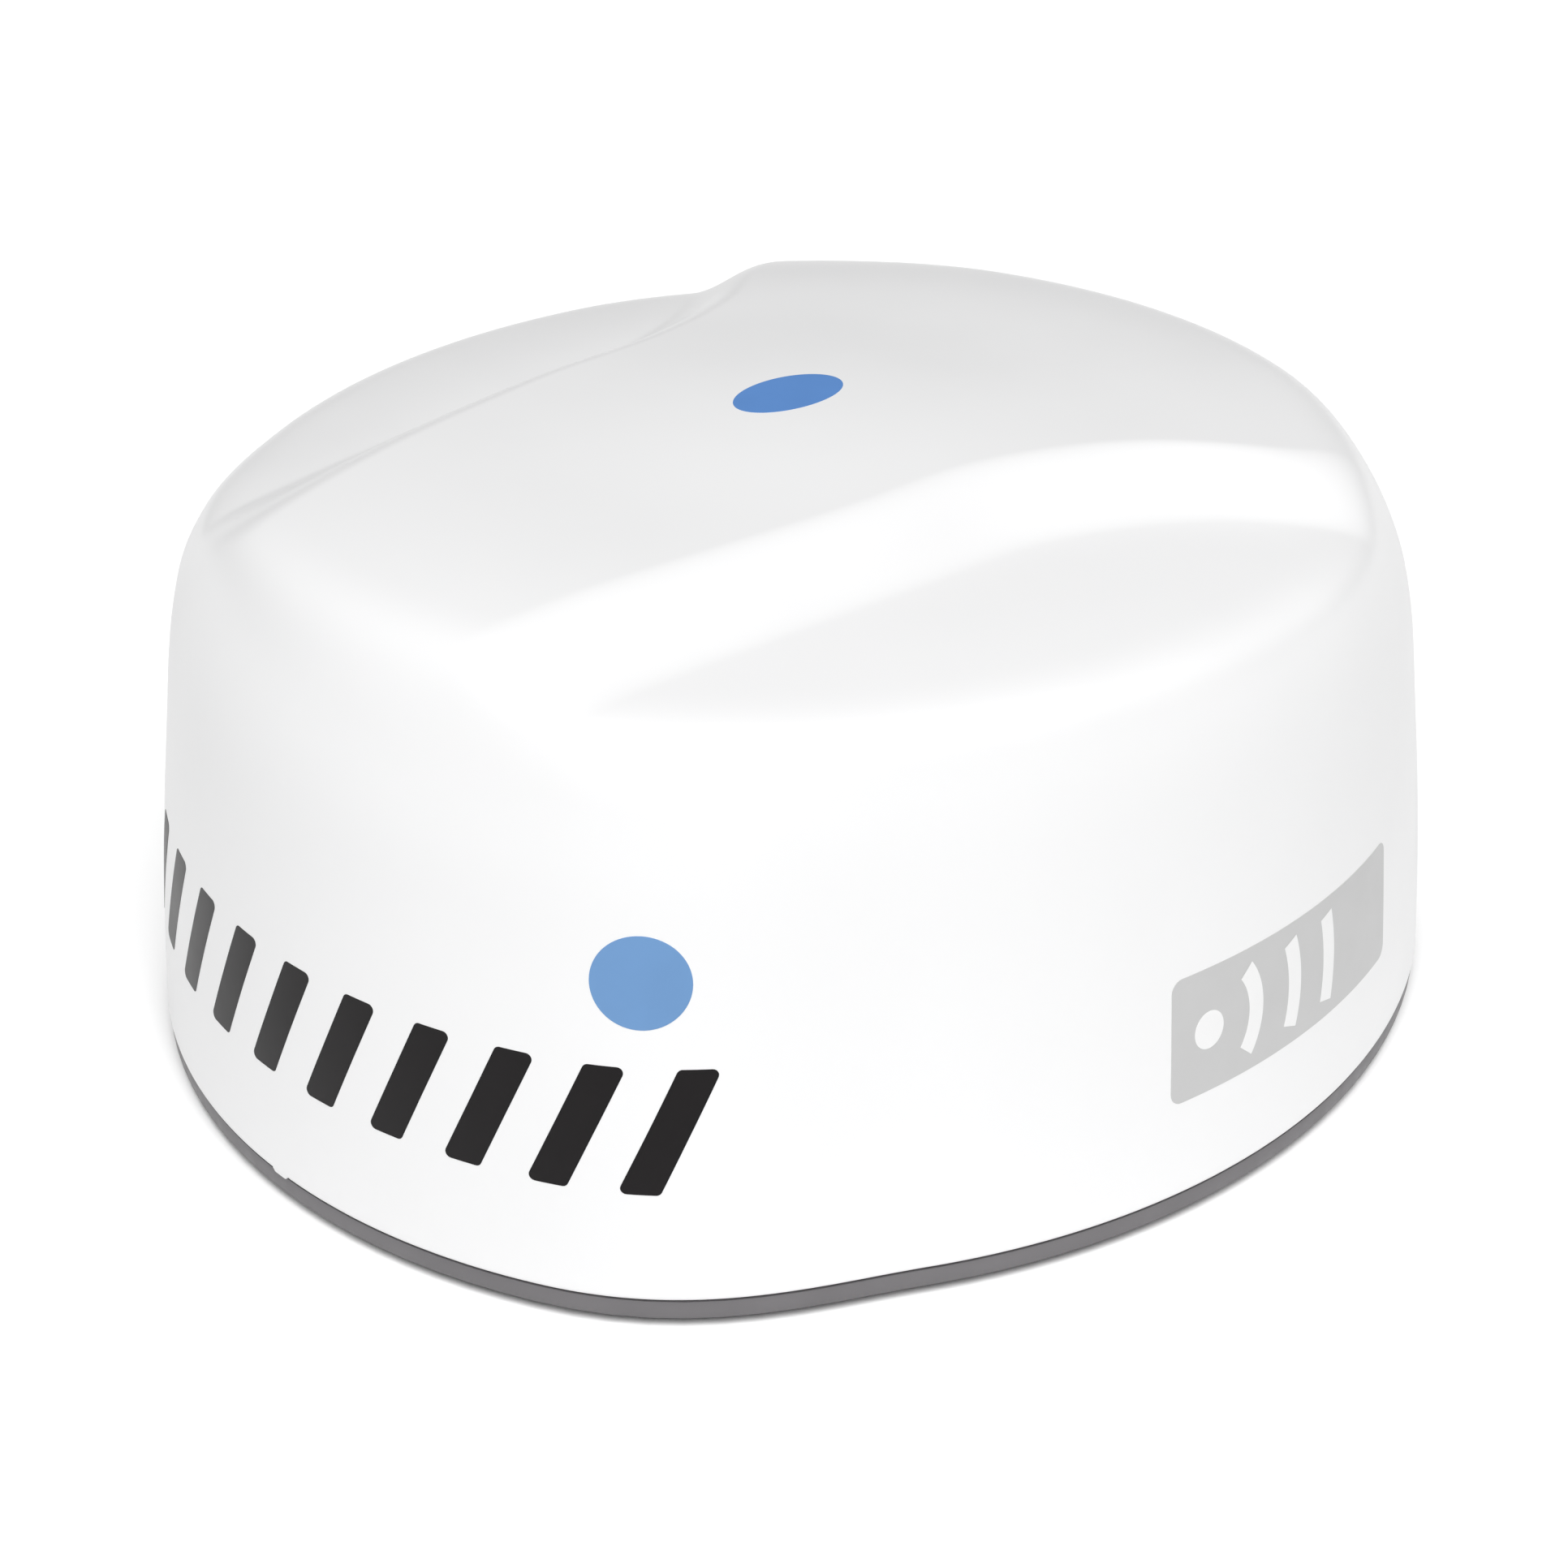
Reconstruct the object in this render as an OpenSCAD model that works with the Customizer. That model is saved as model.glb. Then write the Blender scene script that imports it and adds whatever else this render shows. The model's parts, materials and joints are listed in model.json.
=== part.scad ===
// Marine radar dome antenna, closed dome with a rotating slotted array inside.
// Frame: +Z up, origin at the centre of the underside, bow (forward) along -Y.
// Millimetres.

/* [Dome cover] */
// Largest radius of the dome, at the rim on the bow
dome_r = 254; // [252:0.5:256]
// Height of the cover above its rim plane
cover_h = 236; // [232:1:238]
// Wall thickness of the moulded cover
cover_wall = 4; // [3:0.5:5]
// Depth of the recessed flanks below the raised spine
flank_drop = 18.5; // [14:0.5:20]
// Smallest rim radius in the recessed flank
flank_r = 233; // [230:0.5:240]
// Extra half width of the raised spine
spine_add = 0; // [-6:1:6]
// Azimuth steps of the cover shell
cover_steps = 84; // [60:12:96]

/* [Lower housing] */
// Height of the cover's rim plane above the underside
rim_z = 12; // [12:0.5:13]
// Height of the shadow gap between cover and housing, filled by the gasket
seam = 1.2; // [0.8:0.1:1.6]
// Height of the mounting pad that stands below the housing
pad_h = 4; // [3.5:0.5:4.5]
// Mounting hole spacing across the boat
mount_x = 233; // [233:1:233]
// Mounting hole spacing along the boat
mount_y = 141.5; // [141.5:0.5:141.5]
// Radius of the tapped mounting hole (M8 minor diameter 6.8)
mount_hole_r = 3.4; // [3.3:0.05:3.5]

/* [Antenna] */
// Length of the slotted array assembly
array_len = 384; // [340:4:388]
// Height of the slotted array assembly
array_h = 80; // [70:2:82]
// Number of radiating slots
slots = 26; // [16:2:30]

/* [Drive] */
// Gear module
gear_m = 1.5; // [1.5:0.5:1.5]
// Teeth on the antenna gear
gear_teeth = 80; // [80:1:80]
// Teeth on the motor pinion
pinion_teeth = 16; // [16:1:16]

/* [Hidden] */
$fn = 48;
gap = 0.05;

// ---------- outer surface of the dome ----------
// Section of the full body: [radius, height above the rim], before the flanks are cut in.
SECTION = [[254, 0], [251, 45], [246.5, 92], [242, 130], [238, 160], [232.1, 184],
    [224.4, 203], [215.3, 215.5], [193.2, 223.3], [150, 228.2], [100, 231], [50, 234.2], [0, 235.6]];
// Extra radius of the flank at each section point: its wall leans in less and its shoulder is fuller.
FLANK = [0, 0, 1, 2.3, 3.7, 6.6, 10.2, 12.7, 10.2, 7, 4, 2, 0];
// Half width of the spine at stations every 40 mm, from 160 mm aft of the centre to 200 mm forward.
SPINE = [154, 143, 114, 95.5, 87, 85.5, 81, 75, 67.5, 60];
RINGS = 31;

function ss(t) = let(c = min(1, max(0, t))) c * c * (3 - 2 * c);
function cr1(a, b, c, d, t) = 0.5 * (2 * b + (c - a) * t + (2 * a - 5 * b + 4 * c - d) * t * t
    + (3 * b - a - 3 * c + d) * t * t * t);
function sec_pt(i) = let(n = len(SECTION)) i < 0 ? 2 * SECTION[0] - SECTION[1]
    : i > n - 1 ? [-SECTION[n - 2][0], SECTION[n - 2][1]] : SECTION[i];
// point on the section spline, p from 0 at the rim to 1 at the crown
function sec(p) = let(n = len(SECTION) - 1, q = min(p * n, n - 0.000001), i = floor(q), t = q - i)
    [dome_r / 254 * cr1(sec_pt(i - 1)[0], sec_pt(i)[0], sec_pt(i + 1)[0], sec_pt(i + 2)[0], t),
     cover_h / 236 * cr1(sec_pt(i - 1)[1], sec_pt(i)[1], sec_pt(i + 1)[1], sec_pt(i + 2)[1], t)];
// angle from the bow, 0 to 180
function off_bow(a) = let(b = abs(a) % 360) b > 180 ? 360 - b : b;
function flank_radius(A) = min(flank_r + 0.0071 * (A - 74) * (A - 74), 262);
// how far the flank has taken over on the wall, by angle from the bow
function wall_blend(A) = ss((A - 27.5) / 31.5) * (1 - ss((A - 129) / 30));
// the flank's extra radius fades out aft, between 107 and 147 degrees from the bow
function flank_pt(i) = FLANK[min(len(FLANK) - 1, max(0, i))];
function flank_add(p, A) = let(n = len(SECTION) - 1, q = min(p * n, n - 0.000001), i = floor(q))
    cr1(flank_pt(i - 1), flank_pt(i), flank_pt(i + 1), flank_pt(i + 2), q - i) * (1 - ss((A - 107) / 40));
function spine_st(i) = let(n = len(SPINE)) i < 0 ? 2 * SPINE[0] - SPINE[1]
    : i > n - 1 ? 2 * SPINE[n - 1] - SPINE[n - 2] : SPINE[i];
function spine_edge(v) = let(q = min(8.999999, max(0, (v + 160) / 40)), i = floor(q))
    spine_add + cr1(spine_st(i - 1), spine_st(i), spine_st(i + 1), spine_st(i + 2), q - i);
function top_blend(u, v) = ss((u - spine_edge(v)) / 43);
// outer surface: a is the azimuth from the bow, p the section parameter; [radius, height]
function skin(a, p) = let(A = off_bow(a), s = sec(p), r = s[0], z = s[1],
    m = 1 - ss((z - 180) / 54),
    w = top_blend(r * sin(A), r * cos(A)) * (1 - m) + wall_blend(A) * m,
    k = flank_radius(A) / 254)
    [r * (1 - w) + (r + flank_add(p, A)) * k * w, z * (1 - w) + z * (1 - flank_drop / 236) * w];
function polar(r, a, z) = [r * sin(a), -r * cos(a), z];
function rim_r(a) = skin(a, 0)[0];
function outline(inset, n = 120) = [for (i = [0:n - 1]) let(a = 360 * i / n, r = rim_r(a) - inset)
    [r * sin(a), -r * cos(a)]];

// ring parameters, closer together over the shoulder
function ring_p(j) = j < 9 ? j / 18 : 0.5 + 0.5 * (j - 9) / (RINGS - 9);

module radome_cover() {
    n = cover_steps;
    R = RINGS;
    kr = (254 - cover_wall) / 254;
    kz = (236 - cover_wall) / 236;
    outer = [for (j = [0:R - 1]) for (i = [0:n - 1]) let(a = 360 * i / n, q = skin(a, ring_p(j)))
        polar(q[0], a, q[1])];
    inner = [for (q = outer) [q[0] * kr, q[1] * kr, q[2] * kz]];
    pts = concat(outer, inner, [[0, 0, sec(1)[1]], [0, 0, sec(1)[1] * kz]]);
    o = n * R;
    to = 2 * n * R;
    ti = to + 1;
    faces = concat(
        [for (j = [0:R - 2]) for (i = [0:n - 1]) let(b = (i + 1) % n) [j * n + i, (j + 1) * n + i, (j + 1) * n + b]],
        [for (j = [0:R - 2]) for (i = [0:n - 1]) let(b = (i + 1) % n) [j * n + i, (j + 1) * n + b, j * n + b]],
        [for (i = [0:n - 1]) let(b = (i + 1) % n) [(R - 1) * n + i, to, (R - 1) * n + b]],
        [for (j = [0:R - 2]) for (i = [0:n - 1]) let(b = (i + 1) % n) [o + j * n + i, o + (j + 1) * n + b, o + (j + 1) * n + i]],
        [for (j = [0:R - 2]) for (i = [0:n - 1]) let(b = (i + 1) % n) [o + j * n + i, o + j * n + b, o + (j + 1) * n + b]],
        [for (i = [0:n - 1]) let(b = (i + 1) % n) [o + (R - 1) * n + i, o + (R - 1) * n + b, ti]],
        [for (i = [0:n - 1]) let(b = (i + 1) % n) [i, b, o + i]],
        [for (i = [0:n - 1]) let(b = (i + 1) % n) [b, o + b, o + i]]);
    color("white") translate([0, 0, rim_z]) union() {
        polyhedron(points = pts, faces = faces, convexity = 4);
        // locating tab that marks the bow
        rotate([0, 0, 0.4]) translate([-4.5, -253.6, -seam + 0.1]) cube([9, 2.8, seam + 0.6]);
    }
}

// ---------- joint between cover and housing ----------
SCREW_A = [20, 74, 128, 164, 196, 232, 286, 340];
function screw_r(a) = rim_r(a) - 17;
module at_screws() for (a = SCREW_A) translate(polar(screw_r(a), a, 0)) children();

module cover_flange_ring() color("gainsboro") difference() {
    union() {
        translate([0, 0, rim_z]) linear_extrude(6) difference() {
            polygon(outline(cover_wall + 1));
            polygon(outline(15));
        }
        at_screws() translate([0, 0, rim_z]) cylinder(r = 8, h = 14);
    }
    at_screws() translate([0, 0, rim_z - 1]) cylinder(r = 4.5, h = 13.5);
}
module housing_gasket() color("#1c1c1e") translate([0, 0, rim_z - seam]) linear_extrude(seam) difference() {
    polygon(outline(5));
    polygon(outline(8.8));
}
module cover_inserts() color("goldenrod") at_screws() translate([0, 0, rim_z]) difference() {
    cylinder(r = 4.5, h = 12);
    translate([0, 0, -1]) cylinder(r = 3, h = 14);
}
module cover_screws() color("silver") at_screws() difference() {
    union() {
        translate([0, 0, 4.4]) cylinder(r = 5.2, h = 3.1);
        translate([0, 0, 7.5]) cylinder(r = 3, h = 15);
    }
    translate([0, 0, 4]) cylinder(r = 2.3, h = 2.4, $fn = 6);
}
module cover_screw_washers() color("#2a2a2c") at_screws() translate([0, 0, 7.5]) difference() {
    cylinder(r = 6.2, h = 1.2);
    translate([0, 0, -1]) cylinder(r = 3.05, h = 4);
}

// ---------- lower housing ----------
BAY = [124, 59, 32];
bay_y = 178;
module at_mounts() for (x = [-1, 1]) for (y = [-1, 1]) translate([x * mount_x / 2, y * mount_y / 2, 0]) children();
module rounded(l, w, r, h) linear_extrude(h) union() {
    square([l - 2 * r, w], center = true);
    square([l, w - 2 * r], center = true);
    for (x = [-1, 1]) for (y = [-1, 1]) translate([x * (l / 2 - r), y * (w / 2 - r)]) circle(r);
}
module lower_housing() color("#767376") difference() {
    union() {
        // floor and visible edge
        difference() {
            union() {
                translate([0, 0, pad_h]) linear_extrude(rim_z - seam - pad_h) polygon(outline(0.8));
            }
            translate([0, 0, 9]) linear_extrude(10) polygon(outline(30));
        }
        // locating lip inside the cover ring
        translate([0, 0, 8]) linear_extrude(12) difference() {
            polygon(outline(30));
            polygon(outline(33));
        }
        // mounting pad and its bosses
        rounded(284, 192, 22, pad_h + 1);
        at_mounts() translate([0, 0, 8]) cylinder(r = 14, h = 16);
        // connector bay walls
        translate([-BAY[0] / 2, bay_y - BAY[1] / 2, pad_h]) cube([BAY[0], BAY[1], BAY[2] - pad_h]);
        // stiffening ribs on the floor
        for (a = [0, 60, 120, 240, 300]) rotate([0, 0, a - 90]) translate([60, -1.5, 8]) cube([124, 3, 8]);
    }
    // sunken centre of the pad
    translate([0, 0, -1]) rounded(190, 100, 14, 3);
    at_mounts() translate([0, 0, -1]) cylinder(r = 7, h = 21);
    translate([-BAY[0] / 2 + 4, bay_y - BAY[1] / 2 + 4, -1]) cube([BAY[0] - 8, BAY[1] - 8, BAY[2] - 3]);
    for (x = [-28, 28]) translate([x, bay_y, 20]) cylinder(r = 9, h = 20);
    translate([0, bay_y, 20]) cylinder(r = 5, h = 20);
    at_screws() {
        translate([0, 0, 0]) cylinder(r = 7, h = 8.7);
        translate([0, 0, 0]) cylinder(r = 3.3, h = 20);
    }
    for (a = STAND_A) translate(polar(140, a, 5.5)) cylinder(r = 2, h = 10);
    for (p = BOARD_P) translate([p[0], p[1], 6]) cylinder(r = 1.5, h = 10);
}
module mounting_inserts() color("#b9b4a4") at_mounts() difference() {
    cylinder(r = 7, h = 20);
    translate([0, 0, -1]) cylinder(r = mount_hole_r, h = 22);
}

// ---------- connectors in the bay ----------
module shell_at(x) translate([x, bay_y, 0]) difference() {
    union() {
        translate([0, 0, 12]) cylinder(r = 12, h = 14.8);
        translate([0, 0, 12]) cylinder(r = 13, h = 3);
        translate([0, 0, 26.8]) cylinder(r = 8.9, h = 13.2);
    }
    translate([0, 0, 11]) cylinder(r = 9.5, h = 13);
    translate([0, 0, 20]) cylinder(r = 5, h = 30);
}
module power_connector() color("#8f8f92") shell_at(-28);
module network_connector() color("#8f8f92") shell_at(28);
module connector_insulators() color("#202022") for (x = [-28, 28]) translate([x, bay_y, 20]) cylinder(r = 9.4, h = 4);
module connector_contacts() color("gold") {
    for (a = [0:90:270]) translate([-28, bay_y, 13.5]) rotate([0, 0, a + 45]) translate([4.4, 0, 0]) cylinder(r = 1.2, h = 6.5);
    for (a = [0:45:315]) translate([28, bay_y, 13.5]) rotate([0, 0, a]) translate([5, 0, 0]) cylinder(r = 0.7, h = 6.5);
}
module connector_nuts() color("silver") for (x = [-28, 28]) translate([x, bay_y, 32]) difference() {
    cylinder(r = 13.2, h = 5, $fn = 6);
    translate([0, 0, -1]) cylinder(r = 8.9, h = 7);
}
module connector_seals() color("#161617") for (x = [-28, 28]) translate([x, bay_y, 26.8]) difference() {
    cylinder(r = 12, h = 1.2);
    translate([0, 0, -1]) cylinder(r = 9.05, h = 5);
}
module vent_plug() color("#3a3a3d") translate([0, bay_y, 0]) {
    difference() {
        translate([0, 0, 24]) cylinder(r = 6.6, h = 4, $fn = 6);
        for (a = [0:120:240]) rotate([0, 0, a]) translate([3, 0, 23]) cylinder(r = 0.8, h = 3);
    }
    translate([0, 0, 28]) cylinder(r = 4.95, h = 9);
}

// ---------- chassis ----------
STAND_A = [15, 90, 165, 195, 270, 345];
BOARD_P = [[-92, 32], [92, 32], [-92, 118], [92, 118]];
deck = 38.5;
module at_stand() for (a = STAND_A) translate(polar(140, a, 0)) children();
module chassis_standoffs() color("#c9b26a") at_stand() difference() {
    union() {
        translate([0, 0, 9]) cylinder(r = 5, h = 27, $fn = 6);
        translate([0, 0, 5.6]) cylinder(r = 2, h = 3.5);
    }
    translate([0, 0, 20]) cylinder(r = 2, h = 17);
}
PED_A = [45, 135, 225, 315];
motor_x = gear_m * (gear_teeth + pinion_teeth) / 2;
module chassis_plate() color("#aeb1b5") difference() {
    translate([0, 0, 36]) linear_extrude(2.5) intersection() {
        circle(160, $fn = 96);
        translate([-160, -160]) square([320, 306]);
    }
    at_stand() translate([0, 0, 30]) cylinder(r = 2.2, h = 20);
    translate([0, 0, 30]) cylinder(r = 8, h = 20);
    for (a = PED_A) translate(polar(37, a, 30)) cylinder(r = 2, h = 20);
    translate([motor_x - 22, -22, 30]) cube([44, 44, 20]);
    for (x = [62, 82]) for (y = [-30.5, 30.5]) translate([x, y, 30]) cylinder(r = 1.5, h = 20);
    translate([-118, -32, 30]) cube([20, 20, 20]);
    // cable slots at the stern
    for (x = [-44, 44]) translate([x, 122, 30]) cylinder(r = 8, h = 20);
    // lightening holes
    for (x = [-100, 0, 100]) translate([x * 0.9, 100, 30]) cylinder(r = 9, h = 20);
}
module chassis_screws() color("silver") {
    at_stand() union() {
        translate([0, 0, 24]) cylinder(r = 2, h = 14.5);
        translate([0, 0, deck]) cylinder(r = 3.9, h = 2.6);
    }
    for (a = PED_A) translate(polar(37, a, 0)) union() {
        translate([0, 0, 36]) cylinder(r = 2, h = 6.5);
        translate([0, 0, deck + 4]) cylinder(r = 3.5, h = 2.4);
    }
}

// ---------- bearing ----------
module bearing_housing() color("#9a9da2") difference() {
    union() {
        translate([0, 0, deck]) cylinder(r = 42, h = 4);
        translate([0, 0, deck]) cylinder(r = 31, h = 21.5);
        for (a = [0:90:270]) rotate([0, 0, a]) translate([28, -1.5, deck]) cube([12, 3, 12]);
    }
    translate([0, 0, 30]) cylinder(r = 20, h = 40);
    translate([0, 0, 46]) cylinder(r = 23.5, h = 20);
    for (a = PED_A) translate(polar(37, a, 30)) cylinder(r = 2.1, h = 20);
}
module race_section(r0, r1) difference() {
    translate([r0, -6]) square([r1 - r0, 12]);
    translate([18, 0]) circle(3.56, $fn = 48);
}
module bearing_outer_race() color("#c4c7ca") translate([0, 0, 52]) rotate_extrude($fn = 96) race_section(20, 23.5);
module bearing_inner_race() color("#c4c7ca") translate([0, 0, 52]) rotate_extrude($fn = 96) race_section(12.5, 16);
module bearing_retaining_ring() color("#85888c") translate([0, 0, 58]) difference() {
    cylinder(r = 23.5, h = 1.5);
    translate([0, 0, -1]) cylinder(r = 20.6, h = 4);
    translate([0, -2.5, -1]) cube([30, 5, 4]);
}
BALLS = 10;
module bearing_balls() color("silver") for (i = [0:BALLS - 1]) rotate([0, 0, i * 360 / BALLS]) translate([18, 0, 52]) sphere(r = 3.5, $fn = 32);
module bearing_cage() color("#b08d4f") difference() {
    translate([0, 0, 47.3]) difference() {
        cylinder(r = 18.8, h = 9.4);
        translate([0, 0, -1]) cylinder(r = 17.2, h = 12);
    }
    for (i = [0:BALLS - 1]) rotate([0, 0, i * 360 / BALLS]) translate([18, 0, 52]) sphere(r = 3.6, $fn = 32);
}

// ---------- turning parts on the spindle ----------
TT_A = [45, 135, 225, 315];
module at_tt(r = 23) for (a = TT_A) translate(polar(r, a, 0)) children();
module spindle() color("#b4b7bb") difference() {
    union() {
        translate([0, 0, 42.5]) cylinder(r = 12.5, h = 41.5);
        translate([0, 0, 67]) cylinder(r = 30, h = 4);
    }
    translate([0, 0, 40]) cylinder(r = 8, h = 50);
    at_tt() translate([0, 0, 60]) cylinder(r = 2, h = 20);
    translate([0, 0, 44.7]) difference() {
        cylinder(r = 14, h = 1.3);
        translate([0, 0, -1]) cylinder(r = 11.4, h = 4);
    }
}
module spindle_circlip() color("#85888c") translate([0, 0, 44.7]) difference() {
    cylinder(r = 14.6, h = 1.3);
    translate([0, 0, -1]) cylinder(r = 11.4, h = 4);
    translate([0, -2, -1]) cube([20, 4, 4]);
}
// involute gear outline, standing centred on the origin
function inv(a) = tan(a) * 180 / PI - a;
function involute_pt(rb, r) = let(c = min(1, rb / r), al = acos(c)) inv(al);
function tooth_half(m, z, r) = let(rb = m * z / 2 * cos(20), rp = m * z / 2)
    90 / z - 0.18 * 180 / (PI * rp) + inv(20) - involute_pt(rb, max(r, rb));
function gear_outline(m, z) = let(rp = m * z / 2, rb = rp * cos(20), ro = rp + m, ri = rp - 1.25 * m,
    R = [for (i = [0:5]) max(rb, ri) + (ro - max(rb, ri)) * i / 5])
    [for (t = [0:z - 1]) let(c = 360 * t / z) each concat(
        [let(h = tooth_half(m, z, R[0]) + 0.15) ri * [cos(c - h), sin(c - h)]],
        [for (r = R) let(h = tooth_half(m, z, r)) r * [cos(c - h), sin(c - h)]],
        [for (i = [5:-1:0]) let(r = R[i], h = tooth_half(m, z, r)) r * [cos(c + h), sin(c + h)]],
        [let(h = tooth_half(m, z, R[0]) + 0.15) ri * [cos(c + h), sin(c + h)]])];
module main_gear() color("#e8e4d6") difference() {
    union() {
        translate([0, 0, 61]) linear_extrude(6) difference() {
            polygon(gear_outline(gear_m, gear_teeth));
            circle(52, $fn = 96);
        }
        translate([0, 0, 61]) cylinder(r = 32, h = 6);
        translate([0, 0, 62.5]) cylinder(r = 53, h = 3);
        rotate([0, 0, 22.5]) translate([46, 0, 61]) cylinder(r = 5, h = 4);
        translate([0, 0, 58]) cylinder(r = 15.5, h = 5);
    }
    translate([0, 0, 50]) cylinder(r = 12.52, h = 30);
    at_tt() translate([0, 0, 50]) cylinder(r = 2, h = 30);
    for (a = [0:45:315]) rotate([0, 0, a]) translate([42, 0, 50]) cylinder(r = 6, h = 30);
    rotate([0, 0, 22.5]) translate([46, 0, 60]) cylinder(r = 3, h = 3);
}
module home_magnet() color("#6f7073") rotate([0, 0, 22.5]) translate([46, 0, 61]) cylinder(r = 3, h = 2);
module turntable_screws() color("silver") at_tt() {
    translate([0, 0, 61]) cylinder(r = 2, h = 13);
    translate([0, 0, 74]) cylinder(r = 3.5, h = 2.6);
}
plate_y = -38;
module antenna_bracket() color("#b9bcc0") difference() {
    union() {
        translate([-36, plate_y, 71]) cube([72, 74, 3]);
        translate([-36, plate_y, 71]) cube([72, 3, 66]);
        for (x = [-36, 33]) translate([x, 0, 0]) rotate([90, 0, 90]) linear_extrude(3)
            polygon([[plate_y + 1, 72], [20, 72], [20, 77], [plate_y + 3, 120], [plate_y + 1, 120]]);
    }
    translate([0, 0, 60]) cylinder(r = 12.55, h = 20);
    at_tt() translate([0, 0, 60]) cylinder(r = 2.1, h = 20);
    translate([0, -30, 112]) rotate([90, 0, 0]) cylinder(r = 4, h = 20);
    for (x = [-26, 26]) for (z = [88, 128]) translate([x, -30, z]) rotate([90, 0, 0]) cylinder(r = 1.6, h = 20);
}
module counterweight() color("#7d8085") difference() {
    translate([-30, 22, 74]) cube([60, 14, 13]);
    for (x = [-20, 20]) translate([x, 29, 70]) cylinder(r = 2, h = 30);
}
array_z = 116;
ay = plate_y - 3;
module array_back_plate() color("#c3c6ca") difference() {
    translate([-array_len / 2, ay, array_z - array_h / 2]) cube([array_len, 3, array_h]);
    translate([0, -30, 112]) rotate([90, 0, 0]) cylinder(r = 4, h = 20);
    for (x = [-26, 26]) for (z = [88, 128]) translate([x, -30, z]) rotate([90, 0, 0]) cylinder(r = 1.5, h = 20);
    for (x = [-1, 1]) for (z = [-1, 1]) translate([x * (array_len / 2 - 9), -30, array_z + z * 32]) rotate([90, 0, 0]) cylinder(r = 1.6, h = 20);
}
module array_board() color("#2f6b3c") difference() {
    translate([-array_len / 2 + 20, ay - 1.6, array_z - array_h / 2 + 4]) cube([array_len - 40, 1.6, array_h - 8]);
    for (i = [0:slots - 1]) translate([(i - (slots - 1) / 2) * (array_len - 60) / slots, ay - 5, array_z + (i % 2 == 0 ? 4 : -4)])
        rotate([0, (i % 2 == 0 ? 12 : -12), 0]) cube([1.6, 12, 30], center = true);
}
module array_front_cover() color("#f2f2f0") difference() {
    union() {
        difference() {
            translate([array_len / 2, 0, array_z]) rotate([90, 0, -90]) linear_extrude(array_len)
                polygon([[-ay, -array_h / 2], [-ay + 13, -array_h / 2], [-ay + 17, -array_h / 2 + 6],
                    [-ay + 17, array_h / 2 - 6], [-ay + 13, array_h / 2], [-ay, array_h / 2]]);
            translate([-array_len / 2 + 2.5, ay - 14.5, array_z - array_h / 2 + 2.5]) cube([array_len - 5, 30, array_h - 5]);
        }
        for (x = [-1, 1]) for (z = [-1, 1]) translate([x * (array_len / 2 - 9), ay, array_z + z * 32]) rotate([90, 0, 0]) cylinder(r = 4, h = 15);
    }
    for (x = [-1, 1]) for (z = [-1, 1]) translate([x * (array_len / 2 - 9), ay + 1, array_z + z * 32]) rotate([90, 0, 0]) cylinder(r = 1.5, h = 10);
}
module array_screws() color("silver") {
    for (x = [-1, 1]) for (z = [-1, 1]) translate([x * (array_len / 2 - 9), plate_y, array_z + z * 32]) rotate([90, 0, 0]) {
        translate([0, 0, 0]) cylinder(r = 1.5, h = 10);
        translate([0, 0, -2]) cylinder(r = 2.8, h = 2);
    }
    for (x = [-26, 26]) for (z = [88, 128]) translate([x, plate_y + 3, z]) rotate([90, 0, 0]) {
        cylinder(r = 1.5, h = 6);
        translate([0, 0, -2]) cylinder(r = 2.8, h = 2);
    }
    for (x = [-20, 20]) translate([x, 29, 0]) {
        translate([0, 0, 74]) cylinder(r = 2, h = 13);
        translate([0, 0, 87]) cylinder(r = 3.5, h = 2.4);
    }
}
module feed_coupler() color("#d0b050") difference() {
    union() {
        translate([0, 0, 84]) cylinder(r = 12.5, h = 3);
        translate([0, 0, 87]) cylinder(r = 6, h = 4);
    }
    translate([0, 0, 80]) cylinder(r = 3, h = 20);
}
module feed_coax() color("#c98f5a") union() {
    translate([0, 0, 85]) cylinder(r = 3, h = 15);
    translate([0, -12, 100]) rotate([0, 90, 0]) rotate([0, 0, 90]) rotate_extrude(angle = 90) translate([12, 0]) circle(3, $fn = 32);
    translate([0, -12, 112]) rotate([90, 0, 0]) cylinder(r = 3, h = -12 - ay);
}

// ---------- motor ----------
module motor_body() color("#2b2c2f") translate([motor_x, 0, 0]) difference() {
    union() {
        translate([0, 0, 16]) linear_extrude(8) polygon(oct(21, 4));
        translate([0, 0, 24]) linear_extrude(18) polygon(oct(21, 6));
        translate([0, 0, 42]) linear_extrude(8) polygon(oct(21, 4));
        translate([0, 0, 50]) cylinder(r = 11, h = 2);
    }
    translate([0, 0, 18]) cylinder(r = 2.5 + gap, h = 40);
    for (x = [-15.5, 15.5]) for (y = [-15.5, 15.5]) translate([x, y, 44]) cylinder(r = 1.5, h = 10);
}
function oct(a, c) = [[a, -a + c], [a, a - c], [a - c, a], [-a + c, a], [-a, a - c], [-a, -a + c], [-a + c, -a], [a - c, -a]];
module motor_bracket() color("#a9acb0") difference() {
    union() {
        translate([motor_x - 23, -25.5, 50]) cube([46, 51, 2.5]);
        for (s = [-1, 1]) {
            translate([motor_x - 17, s > 0 ? 23 : -25.5, deck]) cube([34, 2.5, 12]);
            translate([motor_x - 17, s > 0 ? 23 : -36, deck]) cube([34, 13, 2.5]);
        }
    }
    translate([motor_x, 0, 45]) cylinder(r = 11.2, h = 20);
    for (x = [-15.5, 15.5]) for (y = [-15.5, 15.5]) translate([motor_x + x, y, 44]) cylinder(r = 1.6, h = 20);
    for (x = [62, 82]) for (y = [-30.5, 30.5]) translate([x, y, 30]) cylinder(r = 1.6, h = 20);
}
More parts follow.
